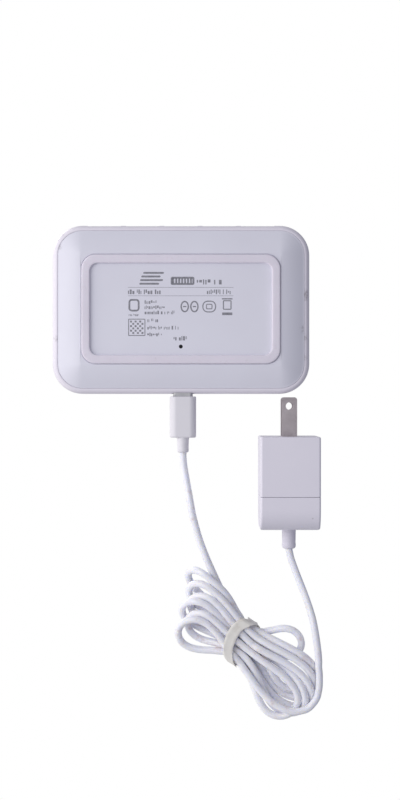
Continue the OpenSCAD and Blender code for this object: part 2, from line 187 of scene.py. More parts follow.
class Shader:
    """A Principled material with small helpers for its procedural nodes."""

    def __init__(self, name, roughness, specular=0.5, metallic=0.0, coat=0.0, coat_roughness=0.2):
        self.material = bpy.data.materials.new(name)
        self.material.use_nodes = True
        self.tree = self.material.node_tree
        self.main = self.tree.nodes["Principled BSDF"]
        self.main.inputs["Roughness"].default_value = roughness
        self.main.inputs["Specular IOR Level"].default_value = specular
        self.main.inputs["Metallic"].default_value = metallic
        self.main.inputs["Coat Weight"].default_value = coat
        self.main.inputs["Coat Roughness"].default_value = coat_roughness
        self.coords = self.tree.nodes.new("ShaderNodeTexCoord")

    def node(self, kind, **inputs):
        made = self.tree.nodes.new(kind)
        for key, value in inputs.items():
            made.inputs[key.replace("_", " ")].default_value = value
        return made

    def link(self, a, b):
        self.tree.links.new(a, b)

    def noise(self, scale, detail=3.0, roughness=0.55, stretch=None, seed=(0, 0, 0)):
        noise = self.node("ShaderNodeTexNoise", Scale=scale, Detail=detail, Roughness=roughness)
        mapping = self.node("ShaderNodeMapping")
        mapping.inputs["Location"].default_value = seed
        if stretch:
            mapping.inputs["Scale"].default_value = stretch
        self.link(self.coords.outputs["Object"], mapping.inputs["Vector"])
        self.link(mapping.outputs["Vector"], noise.inputs["Vector"])
        return noise.outputs["Fac"]

    def ramp(self, value, low, high, a=0.0, b=1.0):
        ranged = self.node("ShaderNodeMapRange")
        ranged.inputs["From Min"].default_value = low
        ranged.inputs["From Max"].default_value = high
        ranged.inputs["To Min"].default_value = a
        ranged.inputs["To Max"].default_value = b
        self.link(value, ranged.inputs["Value"])
        return ranged.outputs["Result"]

    def mix(self, factor, a, b):
        mixed = self.tree.nodes.new("ShaderNodeMix")
        mixed.data_type = "RGBA"
        self.link(factor, mixed.inputs[0])
        for socket, value in ((mixed.inputs[6], a), (mixed.inputs[7], b)):
            if isinstance(value, bpy.types.NodeSocket):
                self.link(value, socket)
            else:
                socket.default_value = (*value, 1)
        return mixed.outputs[2]

    def multiply(self, a, b):
        product = self.tree.nodes.new("ShaderNodeMath")
        product.operation = "MULTIPLY"
        for socket, value in ((product.inputs[0], a), (product.inputs[1], b)):
            if isinstance(value, bpy.types.NodeSocket):
                self.link(value, socket)
            else:
                socket.default_value = value
        return product.outputs[0]

    def spot(self, at, radius):
        """1 inside a round place on the object, falling to 0 at its edge; at and radius in mm."""
        distance = self.tree.nodes.new("ShaderNodeVectorMath")
        distance.operation = "DISTANCE"
        self.link(self.coords.outputs["Object"], distance.inputs[0])
        distance.inputs[1].default_value = Vector(at) * MM
        return self.ramp(distance.outputs["Value"], radius * MM, 0.3 * radius * MM)

    def colour(self, socket):
        self.link(socket, self.main.inputs["Base Color"])

    def roughness(self, socket):
        self.link(socket, self.main.inputs["Roughness"])

    def bump(self, height, strength, distance):
        bump = self.node("ShaderNodeBump", Strength=strength, Distance=distance * MM)
        self.link(height, bump.inputs["Height"])
        self.link(bump.outputs["Normal"], self.main.inputs["Normal"])


def moulded_plastic(name, colour, shade, roughness, grain=900.0, grain_depth=0.012, marks=0.25,
                    mark_colour=(0.42, 0.38, 0.38), spots=(), coat=0.0, seed=0.0):
    """Moulded plastic: slow tone changes, fine spark-erosion grain, scattered scuffs and named smudges."""
    s = Shader(name, roughness, coat=coat)
    base = s.mix(s.ramp(s.noise(28.0, seed=(seed, 0, 0)), 0.35, 0.68), colour, shade)
    scuffs = s.multiply(
        s.ramp(s.noise(420.0, 5.0, 0.7, stretch=(1, 0.45, 1), seed=(0, seed, 3)), 0.66, 0.8),
        s.ramp(s.noise(40.0, seed=(7, seed, 0)), 0.5, 0.66),
    )
    base = s.mix(s.multiply(scuffs, marks), base, mark_colour)
    for at, radius, strength in spots:
        grime = s.multiply(s.spot(at, radius), s.ramp(s.noise(700.0, 4.0, 0.7, seed=(5, 5, seed)), 0.42, 0.62))
        base = s.mix(s.multiply(grime, strength), base, (0.16, 0.14, 0.15))
    s.colour(base)
    s.roughness(s.ramp(s.noise(160.0, 4.0, seed=(2, seed, 0)), 0.3, 0.7, roughness - 0.05, roughness + 0.07))
    s.bump(s.noise(grain * 4, 2.0), 0.5, grain_depth)
    return s.material


def rubber(name, colour, shade, worn):
    """Translucent silicone gone slightly matt and dusty along its crown."""
    s = Shader(name, 0.42, specular=0.4)
    s.main.inputs["Subsurface Weight"].default_value = 0.12
    s.main.inputs["Subsurface Radius"].default_value = (0.002, 0.0016, 0.0018)
    s.main.inputs["Subsurface Scale"].default_value = 1.0
    base = s.mix(s.ramp(s.noise(60.0), 0.35, 0.65), colour, shade)
    dust = s.multiply(
        s.ramp(s.noise(500.0, 5.0, 0.7), 0.55, 0.72), s.ramp(s.noise(70.0, seed=(4, 1, 0)), 0.45, 0.6)
    )
    s.colour(s.mix(s.multiply(dust, 0.55), base, worn))
    s.roughness(s.ramp(s.noise(220.0, 4.0), 0.3, 0.7, 0.34, 0.52))
    s.bump(s.noise(2600.0, 3.0), 0.4, 0.02)
    return s.material


def cable_jacket(name, colour, shade, stain):
    """Soft glossy PVC with faint handling stains and a drawn, slightly uneven surface."""
    s = Shader(name, 0.3, specular=0.5, coat=0.12, coat_roughness=0.25)
    s.main.inputs["Subsurface Weight"].default_value = 0.6
    s.main.inputs["Subsurface Radius"].default_value = (0.0011, 0.0012, 0.0015)
    s.main.inputs["Subsurface Scale"].default_value = 1.0
    base = s.mix(s.ramp(s.noise(45.0), 0.35, 0.65), colour, shade)
    stains = s.multiply(
        s.ramp(s.noise(260.0, 4.0, 0.65, seed=(3, 8, 1)), 0.54, 0.7), s.ramp(s.noise(55.0, seed=(1, 6, 2)), 0.43, 0.57)
    )
    s.colour(s.mix(s.multiply(stains, 0.6), base, stain))
    s.roughness(s.ramp(s.noise(300.0, 4.0), 0.3, 0.7, 0.26, 0.4))
    s.bump(s.noise(900.0, 4.0), 0.35, 0.04)
    return s.material


def strap_paper(name, colour, shade, edge):
    """Creped strap: fine ribs across it, a fibrous tone and darker soil along it."""
    s = Shader(name, 0.72, specular=0.25)
    base = s.mix(s.ramp(s.noise(300.0, 4.0), 0.3, 0.7), colour, shade)
    s.colour(s.mix(s.multiply(s.ramp(s.noise(120.0, 4.0, seed=(2, 2, 2)), 0.52, 0.7), 0.6), base, edge))
    s.roughness(s.ramp(s.noise(500.0), 0.3, 0.7, 0.64, 0.82))
    s.bump(s.noise(1500.0, 5.0, 0.65, stretch=(1, 2.2, 1)), 0.7, 0.12)
    return s.material


def metal(name, colour, shade, roughness, brushed=(1, 1, 1), wear=0.3):
    s = Shader(name, roughness, metallic=1.0)
    base = s.mix(s.ramp(s.noise(180.0, 4.0), 0.35, 0.68), colour, shade)
    tarnish = s.ramp(s.noise(420.0, 5.0, 0.7, seed=(1, 4, 0)), 0.55, 0.75)
    s.colour(s.mix(s.multiply(tarnish, wear), base, tuple(0.45 * c for c in shade)))
    lines = s.noise(1400.0, 3.0, 0.6, stretch=brushed)
    s.roughness(s.ramp(lines, 0.3, 0.7, roughness - 0.08, roughness + 0.12))
    s.bump(lines, 0.35, 0.015)
    return s.material


def board_laminate(name, mask, bare, silk):
    """Solder mask over tracks, with a woven substrate just visible and sparse print."""
    s = Shader(name, 0.35, coat=0.3)
    tracks = s.tree.nodes.new("ShaderNodeTexBrick")
    tracks.inputs["Scale"].default_value = 260.0
    tracks.inputs["Mortar Size"].default_value = 0.018
    tracks.inputs["Color1"].default_value = (*mask, 1)
    tracks.inputs["Color2"].default_value = (*[0.8 * c for c in mask], 1)
    tracks.inputs["Mortar"].default_value = (*bare, 1)
    s.link(s.coords.outputs["Object"], tracks.inputs["Vector"])
    prints = s.ramp(s.noise(700.0, 2.0), 0.72, 0.75)
    s.colour(s.mix(prints, tracks.outputs["Color"], silk))
    s.roughness(s.ramp(s.noise(400.0), 0.3, 0.7, 0.3, 0.45))
    s.bump(tracks.outputs["Fac"], 0.3, 0.03)
    return s.material


def printed_ink(name, colour, shade):
    s = Shader(name, 0.5)
    s.colour(s.mix(s.ramp(s.noise(900.0, 4.0, 0.7), 0.4, 0.7), colour, shade))
    s.roughness(s.ramp(s.noise(600.0), 0.3, 0.7, 0.45, 0.6))
    return s.material


def lens(name, colour, shade):
    s = Shader(name, 0.18, specular=0.6)
    s.main.inputs["Transmission Weight"].default_value = 0.35
    s.colour(s.mix(s.ramp(s.noise(300.0), 0.3, 0.7), colour, shade))
    s.roughness(s.ramp(s.noise(500.0), 0.3, 0.7, 0.14, 0.26))
    return s.material


RIM_SPOTS = (((-49.6, -31.0, 6.0), 2.0, 0.45), ((-51.0, -28.5, 5.5), 1.2, 0.4), ((51.5, -6.0, 4.8), 3.0, 0.6),
             ((51.6, 12.0, 4.8), 2.2, 0.5), ((51.4, 20.0, 4.8), 1.6, 0.6), ((-51.8, 12.0, 5.0), 1.8, 0.45))

LOOK = {
    "case_white": moulded_plastic("case_white", (0.80, 0.765, 0.85), (0.765, 0.735, 0.825), 0.38, spots=RIM_SPOTS),
    "cover_white": moulded_plastic("cover_white", (0.735, 0.735, 0.83), (0.71, 0.705, 0.80), 0.46, seed=4.0,
                                   spots=(((51.0, 8.0, 4.4), 2.4, 0.5), ((-51.0, -26.0, 4.2), 2.0, 0.5))),
    "foot_silicone": rubber("foot_silicone", (0.76, 0.72, 0.82), (0.725, 0.69, 0.785), (0.55, 0.48, 0.52)),
    "jack_white": moulded_plastic("jack_white", (0.82, 0.82, 0.84), (0.78, 0.78, 0.81), 0.35, seed=9.0, marks=0.1),
    "contact_gold": metal("contact_gold", (0.95, 0.74, 0.36), (0.82, 0.6, 0.28), 0.25, wear=0.15),
    "shield_steel": metal("shield_steel", (0.72, 0.72, 0.73), (0.62, 0.62, 0.64), 0.34, brushed=(1, 12, 12)),
    "light_clear": lens("light_clear", (0.86, 0.92, 0.86), (0.78, 0.86, 0.8)),
    "chip_black": moulded_plastic("chip_black", (0.022, 0.022, 0.024), (0.03, 0.03, 0.032), 0.5, marks=0.2, seed=2.0),
    "pad_blue": moulded_plastic("pad_blue", (0.2, 0.36, 0.55), (0.17, 0.31, 0.5), 0.6, seed=3.0, marks=0.1),
    "sink_aluminium": metal("sink_aluminium", (0.78, 0.79, 0.8), (0.68, 0.69, 0.71), 0.36, brushed=(10, 1, 1)),
    "can_grey": metal("can_grey", (0.5, 0.51, 0.54), (0.4, 0.41, 0.45), 0.32),
    "screw_steel": metal("screw_steel", (0.66, 0.66, 0.66), (0.5, 0.5, 0.52), 0.3),
    "plunger_ivory": moulded_plastic("plunger_ivory", (0.8, 0.76, 0.65), (0.75, 0.7, 0.6), 0.45, seed=6.0),
    "plug_white": moulded_plastic("plug_white", (0.76, 0.745, 0.80), (0.725, 0.71, 0.765), 0.4, seed=7.0, marks=0.3),
    "lead_white": cable_jacket("lead_white", (0.87, 0.87, 0.93), (0.84, 0.845, 0.915), (0.66, 0.53, 0.5)),
    "tie_cream": strap_paper("tie_cream", (0.83, 0.815, 0.785), (0.775, 0.755, 0.72), (0.6, 0.55, 0.48)),
    "adapter_white": moulded_plastic("adapter_white", (0.77, 0.745, 0.84), (0.74, 0.72, 0.815), 0.36, seed=11.0,
                                     marks=0.3, spots=(((54.6, 86.5, 1.2), 0.7, 0.9),)),
    "blade_nickel": metal("blade_nickel", (0.62, 0.565, 0.58), (0.5, 0.45, 0.465), 0.34, brushed=(10, 1, 10),
                          wear=0.35),
    "winding_tape": moulded_plastic("winding_tape", (0.78, 0.6, 0.14), (0.7, 0.52, 0.1), 0.4, seed=13.0),
}
INK = printed_ink("print_grey", (0.2, 0.2, 0.235), (0.32, 0.32, 0.36))
LOOK["board_green"] = board_laminate("board_green", (0.02, 0.16, 0.07), (0.05, 0.28, 0.12), (0.75, 0.77, 0.74))


# --- mesh helpers, all in mm


def make_piece(name, verts, faces, slot, body, replaces=(), angle=32.0, material=None):
    mesh = bpy.data.meshes.new(name)
    mesh.from_pydata([Vector(v) * MM for v in verts], [], faces)
    return finish_piece(name, mesh, slot, body, replaces, angle, material)


def finish_piece(name, mesh, slot, body, replaces=(), angle=32.0, material=None):
    bm = bmesh.new()
    bm.from_mesh(mesh)
    bmesh.ops.remove_doubles(bm, verts=bm.verts, dist=1e-7)
    bmesh.ops.recalc_face_normals(bm, faces=bm.faces)
    mark_sharp(bm, angle)
    bm.to_mesh(mesh)
    bm.free()
    piece = bpy.data.objects.new(name, mesh)
    bpy.context.scene.collection.objects.link(piece)
    mesh.materials.append(material or LOOK[slot])
    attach(piece, body)
    if replaces:
        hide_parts(*replaces)
    return piece


def mark_sharp(bm, angle):
    for face in bm.faces:
        face.smooth = True
    for edge in bm.edges:
        edge.smooth = edge.is_manifold and edge.calc_face_angle(0.0) < math.radians(angle)


def weighted_normals(piece):
    normals = piece.modifiers.new("normals", "WEIGHTED_NORMAL")
    normals.keep_sharp = True


def bevel(piece, width, segments=3, angle=35.0, weld=False):
    if weld:
        piece.modifiers.new("weld", "WELD").merge_threshold = 1e-6
    rounding = piece.modifiers.new("bevel", "BEVEL")
    rounding.width = width * MM
    rounding.segments = segments
    rounding.limit_method = "ANGLE"
    rounding.angle_limit = math.radians(angle)
    rounding.harden_normals = True


def quads(a, b, sides):
    """Faces between two rings whose points start at a and at b."""
    return [(a + k, a + (k + 1) % sides, b + (k + 1) % sides, b + k) for k in range(sides)]


def loft(rings, closed=False, caps=True):
    """Faces between rings of equally many points; caps close the first and last ring."""
    count, sides = len(rings), len(rings[0])
    verts = [point for ring in rings for point in ring]
    faces = []
    for i in range(count if closed else count - 1):
        faces += quads(i * sides, (i + 1) % count * sides, sides)
    if caps and not closed:
        faces.append(tuple(range(sides)))
        faces.append(tuple((count - 1) * sides + k for k in range(sides)))
    return verts, faces


def rounded(half_x, half_y, radius, steps=12, middle=(0.0, 0.0)):
    """Rectangle with round corners, as points going round."""
    points = []
    for sx, sy, start in ((1, 1, 0), (-1, 1, 90), (-1, -1, 180), (1, -1, 270)):
        for k in range(steps + 1):
            a = math.radians(start + 90 * k / steps)
            points.append((middle[0] + sx * (half_x - radius) + radius * math.cos(a),
                           middle[1] + sy * (half_y - radius) + radius * math.sin(a)))
    return points


def case_ring(inset, z, steps=16):
    radius = max(CORNER_R - inset, 0.02)
    return [(x, y, z) for x, y in rounded(CASE_HALF[0] - inset, CASE_HALF[1] - inset, radius, steps)]


def arc_rows(centre, radii, start, end, steps):
    rows = []
    for k in range(steps + 1):
        a = math.radians(start + (end - start) * k / steps)
        rows.append((centre[0] + radii[0] * math.cos(a), centre[1] + radii[1] * math.sin(a)))
    return rows


def front_edge(y0, radius):
    """Rows of y and inset for an edge rolled over at y0."""
    return [(y0 + radius * (1 - math.sin(a)), radius * (1 - math.cos(a)))
            for a in [math.radians(90 - 15 * k) for k in range(7)]]


def cut_away(piece, cutters):
    """Cuts closed meshes, given as (verts, faces) in mm, out of the piece and keeps the result as its mesh."""
    made = []
    for verts, faces in cutters:
        mesh = bpy.data.meshes.new("cutter")
        mesh.from_pydata([Vector(v) * MM for v in verts], [], faces)
        bm = bmesh.new()
        bm.from_mesh(mesh)
        bmesh.ops.recalc_face_normals(bm, faces=bm.faces)
        bm.to_mesh(mesh)
        bm.free()
        cutter = bpy.data.objects.new("cutter", mesh)
        bpy.context.scene.collection.objects.link(cutter)
        cut = piece.modifiers.new("cut", "BOOLEAN")
        cut.operation = "DIFFERENCE"
        cut.solver = "EXACT"
        cut.object = cutter
        made.append(cutter)
    bpy.context.view_layer.update()
    result = bpy.data.meshes.new_from_object(piece.evaluated_get(bpy.context.evaluated_depsgraph_get()))
    piece.modifiers.clear()
    piece.data = result
    for cutter in made:
        bpy.data.objects.remove(cutter)
    bm = bmesh.new()
    bm.from_mesh(result)
    mark_sharp(bm, 32.0)
    bm.to_mesh(result)
    bm.free()


# --- the lead: its route given at both ends, its hank settled by a small solver

PLUG_ROUTE = [
    (0.8, 59.575, 7.63), (1, 64, 7.2), (2, 70, 5.2), (3.5, 78, 2.6), (5, 86, 1.5), (7.5, 95, 1.5),
    (10.5, 103, 1.8), (14, 111, 3.6), (18, 119.5, 6),
]
ADAPTER_ROUTE = [
    (45.5, 100.5, 18), (46.5, 105, 17), (49, 112, 12.2), (52, 120, 6.2), (54.5, 128, 2.5),
    (56, 136, 1.5), (57, 144, 1.5), (57, 149, 1.5),
]
TIE_AT = np.array([25.5, 138.5])
TIE_TURN = math.radians(33)
ALONG = np.array([math.cos(TIE_TURN), math.sin(TIE_TURN)])
ACROSS = np.array([-math.sin(TIE_TURN), math.cos(TIE_TURN)])
LOW, MID, HIGH = 2.5, 5.2, 7.9
# where the strand passes the tie, one row a pass: across the bundle, and height
PASSES = [
    (-7.2, HIGH), (-4.0, HIGH), (-7.2, MID), (-4.2, MID), (-6.6, LOW), (-1.0, HIGH), (-3.4, LOW),
    (2.2, HIGH), (-1.2, MID), (1.8, MID), (-0.2, LOW), (5.4, MID), (4.6, LOW),
]
# tips of the loops: along the bundle, across it, and half their width
UPPER_TIPS = [
    (-33.5, -14.0, 2.0), (-30, -8.2, 2.1), (-26.5, -5.0, 2.2), (-28.5, 0.5, 2.6), (-23.2, 2.6, 2.4), (-24.6, 9.0, 3.6),
]
LOWER_TIPS = [
    (20.0, -13.0, 5.2), (33.0, 3.0, 6.4), (34.5, 4.5, 6.2), (36.5, 6.5, 5.6), (36.5, 9.5, 5.0), (34.0, 12.5, 4.6),
]
LAST_BEND = [
    (27.5, 152.5, 1.6), (32.3, 159.6, 1.5), (39, 164.2, 1.5), (46.5, 165.8, 1.5), (52.8, 163.2, 1.5), (56.2, 157, 1.5),
]
STEP = 1.5
PAGE_Z, UPPER_TILT, LOWER_TILT = 7.0, 5.0, 4.0
SETTLE_ROUNDS = 500
NEAR_D = 1.35               # strands this many diameters apart are watched
BEND_SPAN, BEND_R = 8, 7.0  # steps across which a bend is measured, and its least radius
FINE_EASE, WIDE_EASE, WIDE_REACH = 0.5, 0.3, 3
SINK = 0.004                # fall in each round
TIE_HALF_U, TIE_HALF_V = 5.0, 7.5
TIE_Z = (2.5, 8.0)
HELD_START, HELD_END = 62.0, 55.0
LIE_Z = LEAD_R
HANK_TOP = 12.5


def from_tie(u, v, z):
    x, y = TIE_AT + u * ALONG + v * ACROSS
    return (x, y, z)


def loop_points(start, end, tip, side):
    """A teardrop loop from one pass of the tie to the next, tilted like a page: its -v leg low, its +v leg high."""
    (v_start, z_start), (v_end, z_end) = start, end
    u_tip, v_tip, width = tip
    base = np.array([side * 2.5, (v_start + v_end) / 2])
    axis = np.array([u_tip, v_tip]) - base
    reach = np.linalg.norm(axis)
    axis /= reach
    across = np.array([-axis[1], axis[0]])
    if (across[1] > 0) != (v_start > v_end):
        across = -across
    z_mid = (z_start + z_end) / 4 + PAGE_Z / 2
    tilt = (LOWER_TILT if side > 0 else UPPER_TILT) * (1 if across[1] > 0 else -1)
    points = []
    for share, spread, z in ((0.35, 0.75, z_start), (0.65, 1.1, z_mid + 0.6 * tilt)):
        points.append((base + axis * reach * share + across * width * spread, z))
    centre = base + axis * (reach - width)
    for angle in (70, 35, 0, -35, -70):
        a = math.radians(angle)
        points.append((centre + axis * width * math.cos(a) + across * width * 1.15 * math.sin(a),
                       z_mid + tilt * math.sin(a)))
    for share, spread, z in ((0.65, 1.1, z_mid - 0.6 * tilt), (0.35, 0.75, z_end)):
        points.append((base + axis * reach * share - across * width * spread, z))
    return [from_tie(at[0], at[1], z) for at, z in points]


def first_route():
    points = list(PLUG_ROUTE) + [(21.0, 125.5, HIGH)]
    for i, (v, z) in enumerate(PASSES):
        way = 1 if i % 2 == 0 else -1
        points += [from_tie(-2.5 * way, v, z), from_tie(2.5 * way, v, z)]
        if i < len(PASSES) - 1:
            tips = LOWER_TIPS if way == 1 else UPPER_TIPS
            points += loop_points(PASSES[i], PASSES[i + 1], tips[i // 2], way)
    return np.array(points + LAST_BEND + ADAPTER_ROUTE[::-1], float)


def smooth_line(points, step):
    """A smooth curve through the points, in even steps."""
    line, last = [], len(points) - 1
    for i in range(last):
        p0, p1, p2, p3 = points[max(i - 1, 0)], points[i], points[i + 1], points[min(i + 2, last)]
        parts = max(2, int(np.linalg.norm(p2 - p1) / 0.5))
        for t in np.arange(parts) / parts:
            line.append(0.5 * (2 * p1 + (p2 - p0) * t + (2 * p0 - 5 * p1 + 4 * p2 - p3) * t * t
                               + (3 * p1 - p0 - 3 * p2 + p3) * t ** 3))
    line.append(points[last])
    return even_steps(np.array(line), step)


def even_steps(line, step):
    gone = np.concatenate([[0], np.cumsum(np.linalg.norm(np.diff(line, axis=0), axis=1))])
    at = np.linspace(0, gone[-1], int(round(gone[-1] / step)) + 1)
    return np.stack([np.interp(at, gone, line[:, k]) for k in range(3)], axis=1)


def settle(line, rounds, held):
    """Relaxes the line: strands push towards a diameter apart, bends open up, the tie keeps its bundle."""
    count = len(line)
    free = np.where(held, 0.0, 1.0)
    index = np.arange(count)
    span = BEND_SPAN
    chord = 2 * BEND_R * math.sin(span * STEP / 2 / BEND_R)

    def keep_apart(i, j, target, shrink_only, share):
        apart = line[j] - line[i]
        length = np.linalg.norm(apart, axis=1)
        error = length - target
        if shrink_only:
            error = np.minimum(error, 0)
        both = free[i] + free[j]
        move = np.where(both > 0, error / np.maximum(length, 1e-9) / np.maximum(both, 1), 0)[:, None] * apart * share
        np.add.at(line, i, move * free[i][:, None])
        np.add.at(line, j, -move * free[j][:, None])

    for turn in range(rounds):
        if turn % 4 == 0:
            squared = ((line[:, None, :] - line[None, :, :]) ** 2).sum(-1)
            near_i, near_j = np.nonzero(np.triu(squared < (LEAD_D * NEAR_D) ** 2, 5))
        apart = line[near_j] - line[near_i]
        length = np.linalg.norm(apart, axis=1)
        error = np.minimum(length - LEAD_D, 0)
        both = free[near_i] + free[near_j]
        push = (error / np.maximum(length, 1e-6) / np.maximum(both, 1))[:, None] * apart
        move, met = np.zeros_like(line), np.zeros(count)
        np.add.at(move, near_i, push * free[near_i][:, None])
        np.add.at(move, near_j, -push * free[near_j][:, None])
        np.add.at(met, near_i, error < 0)
        np.add.at(met, near_j, error < 0)
        line += move / np.maximum(met, 1)[:, None]
        for start in (0, span):
            ends = index[:-span]
            ends = ends[(ends // span) % 2 == start // span]
            keep_apart(ends, ends + span, chord, True, 0.35)
        ease = np.zeros_like(line)
        ease[2:-2] = (-line[:-4] + 4 * line[1:-3] - 6 * line[2:-2] + 4 * line[3:-1] - line[4:]) / 16
        line += ease * free[:, None] * FINE_EASE
        reach = WIDE_REACH
        ease = np.zeros_like(line)
        ease[2 * reach:-2 * reach] = (-line[:-4 * reach] + 4 * line[reach:-3 * reach] - 6 * line[2 * reach:-2 * reach]
                                      + 4 * line[3 * reach:-reach] - line[4 * reach:]) / 16
        line += ease * free[:, None] * WIDE_EASE
        for start in (0, 1):
            ends = index[start:-1:2]
            keep_apart(ends, ends + 1, STEP, False, 1.0)
        from_centre = line[:, :2] - TIE_AT
        u, v = from_centre @ ALONG, from_centre @ ACROSS
        tied = (np.abs(u) < TIE_HALF_U) & (np.abs(v) < 13) & (free > 0)
        line[:, :2] += (np.where(tied, np.clip(v, -TIE_HALF_V, TIE_HALF_V), v) - v)[:, None] * ACROSS
        line[:, 2] = np.where(tied, np.clip(line[:, 2], *TIE_Z), line[:, 2])
        loose = free > 0
        line[loose, 2] = np.clip(line[loose, 2] - SINK, LIE_Z, HANK_TOP)
    return line


def lead_line():
    line = smooth_line(first_route(), STEP)
    gone = np.arange(len(line)) * STEP
    held = (gone < HELD_START) | (gone > gone[-1] - HELD_END)
    line = settle(line, SETTLE_ROUNDS, held)
    line[:, 2] = np.maximum(line[:, 2], LIE_Z)
    return line


def make_lead(line):
    fine = smooth_line(line, STEP / 2)
    fine[:, 2] = np.maximum(fine[:, 2], LIE_Z)
    curve = bpy.data.curves.new("power_lead_cord", "CURVE")
    curve.dimensions = "3D"
    curve.bevel_depth = LEAD_R * MM
    curve.bevel_resolution = 5
    curve.use_fill_caps = True
    spline = curve.splines.new("POLY")
    spline.points.add(len(fine) - 1)
    spline.points.foreach_set("co", np.column_stack([fine * MM, np.ones(len(fine))]).ravel())
    spline.use_smooth = True
    curve.materials.append(LOOK["lead_white"])
    cord = bpy.data.objects.new("power_lead_cord", curve)
    bpy.context.scene.collection.objects.link(cord)
    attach(cord, "power_lead")
    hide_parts("lead_plug_end", "lead_hank", "lead_adapter_end")
    return cord, fine


lead_cord, lead_fine = make_lead(lead_line())


STRAP_LEAN = 5.4
STRAP_SMOOTHING = 3
STRAP_HALF_WIDTH = 2.3
LAP_START, LAP_TURN = 205.0, 360.0 + 62.0    # degrees round the bundle: where the strap starts, and how far it goes


def strap_lean(at):
    """How far the strap stands along the bundle at a place in its section: back below, forward above."""
    v, z = at
    return STRAP_LEAN * math.sqrt(max(0.0, 1 - (v / 9.4) ** 2)) * min(1.0, max(-1.0, (z - 5.2) / 3.0)) + 0.12 * v


def make_tie(line):
    """A strap pulled round the bundle, lapping over itself, with its tail turned out."""
    from_centre = line[:, :2] - TIE_AT
    u, v = from_centre @ ALONG, from_centre @ ACROSS
    inside = (np.abs(u) < TIE_HALF_U) & (np.abs(v) < 12)
    strands = np.column_stack([v[inside], line[inside, 2]])
    turn_steps = 96
    rows = []
    rng = random.Random(5)
    waves = [rng.uniform(0, 6.28) for _ in range(4)]
    for k in range(turn_steps + 1):
        share = k / turn_steps
        angle = LAP_START + LAP_TURN * share
        a = math.radians(angle)
        normal = np.array([math.cos(a), math.sin(a)])
        reach = strands @ normal
        top = strands[reach > reach.max() - 0.15].mean(0)
        lap = min(1.0, max(0.0, (angle - LAP_START - 342) / 16))
        lift = LEAD_R + 0.08 + 0.5 * lap
        tail = max(0.0, (share - 0.965) / 0.035)
        lift += 0.35 * tail * tail
        at = top + normal * lift
        width = STRAP_HALF_WIDTH * (1 - 0.25 * tail)
        skew = 0.22 * math.sin(2 * a + waves[0]) + 0.6 * (share - 0.5)
        rows.append((at, normal, width, skew))
    places = np.array([row[0] for row in rows])
    for _ in range(STRAP_SMOOTHING):
        places[1:-1] = (places[:-2] + 2 * places[1:-1] + places[2:]) / 4
    rings = []
    for k, (at, (_, normal, width, skew)) in enumerate(zip(places, rows)):
        ring = []
        wave = 0.09 * math.sin(k * 0.9 + waves[1]) + 0.06 * math.sin(k * 2.3 + waves[2])
        profile = ((-1, 0.12), (-0.93, 0.0), (0, -0.02), (0.93, 0.0), (1, 0.12), (1, 0.34), (0.93, 0.46),
                   (0.5, 0.42), (0, 0.40), (-0.5, 0.42), (-0.93, 0.46), (-1, 0.34))
        for side, rise in profile:
            edge = abs(side) > 0.9
            out = at + normal * (rise * 1.15 + (0.05 if edge else 0.0))
            u_at = side * width + skew + (wave if edge else 0) + strap_lean(out)
            x, y = TIE_AT + u_at * ALONG + out[0] * ACROSS
            ring.append((x, y, max(out[1], 0.03)))
        rings.append(ring)
    verts, faces = loft(rings)
    return make_piece("hank_strap", verts, faces, "tie_cream", "power_lead", ("hank_tie",), angle=50)


hank_strap = make_tie(lead_fine)


# --- power plug


def make_plug_handle():
    """Overmoulded grip: flat-sided with full round edges, its ends rolled over."""
    y0, y1 = GRIP_LOW.y, GRIP_HIGH.y
    half_x, half_z = (GRIP_HIGH.x - GRIP_LOW.x) / 2, (GRIP_HIGH.z - GRIP_LOW.z) / 2
    front_r, back_r = 0.5, 0.8
    rows = front_edge(y0, front_r)
    rows += [(y0 + 4.0, 0.0), (y0 + 9.0, 0.0), (y1 - 5.0, 0.0)]
    rows += [(y1 - back_r + back_r * math.sin(a), back_r * (1 - math.cos(a)))
             for a in [math.radians(10 * k) for k in range(10)]]
    rings = []
    for y, inset in sorted(rows):
        half_high = half_z - min(inset, 0.62 * back_r)
        ring = rounded(half_x - inset, half_high, min(2.8, half_high - 0.02), 10)
        rings.append([(INLET_X + x, y, INLET_Z + z) for x, z in ring])
    verts, faces = loft(rings)
    piece = make_piece("plug_handle", verts, faces, "plug_white", "power_lead", ("plug_grip",), angle=40)
    weighted_normals(piece)
    return piece


def make_strain_relief(name, slot, node, x, z, y0, y1, root_r, tip_r, collar=None, sides=40):
    """Relief along +Y: an optional collar set in the housing, a gentle taper, a thicker lip and a rounded mouth."""
    length = y1 - y0
    rows = [(y0 - 0.4, root_r + 0.3), (y0, root_r + 0.25), (y0 + 0.25, root_r + 0.05)]
    if collar:
        rows = [(y0 - 0.5, collar), (y0 + 0.08, collar), (y0 + 0.2, collar - 0.12), (y0 + 0.2, root_r + 0.5),
                (y0 + 0.3, root_r + 0.25), (y0 + 0.6, root_r + 0.04)]
    rows += [(y0 + share * length, root_r + (tip_r - root_r) * share) for share in (0.15, 0.3, 0.45, 0.6, 0.7)]
    rows += [(y0 + 0.74 * length, tip_r + 0.1), (y0 + 0.8 * length, tip_r + 0.16), (y0 + 0.86 * length, tip_r + 0.12)]
    mouth = LEAD_R + 0.12
    for k in range(1, 9):
        a = math.radians(90 * k / 8)
        rows.append((y0 + (0.86 + 0.14 * math.sin(a)) * length, mouth + (tip_r + 0.12 - mouth) * math.cos(a)))
    rings = []
    for y, r in rows:
        rings.append([(x + r * math.cos(2 * math.pi * k / sides), y, z + r * math.sin(2 * math.pi * k / sides))
                      for k in range(sides)])
    verts, faces = loft(rings)
    return make_piece(name, verts, faces, slot, "power_lead", (node,), angle=50)


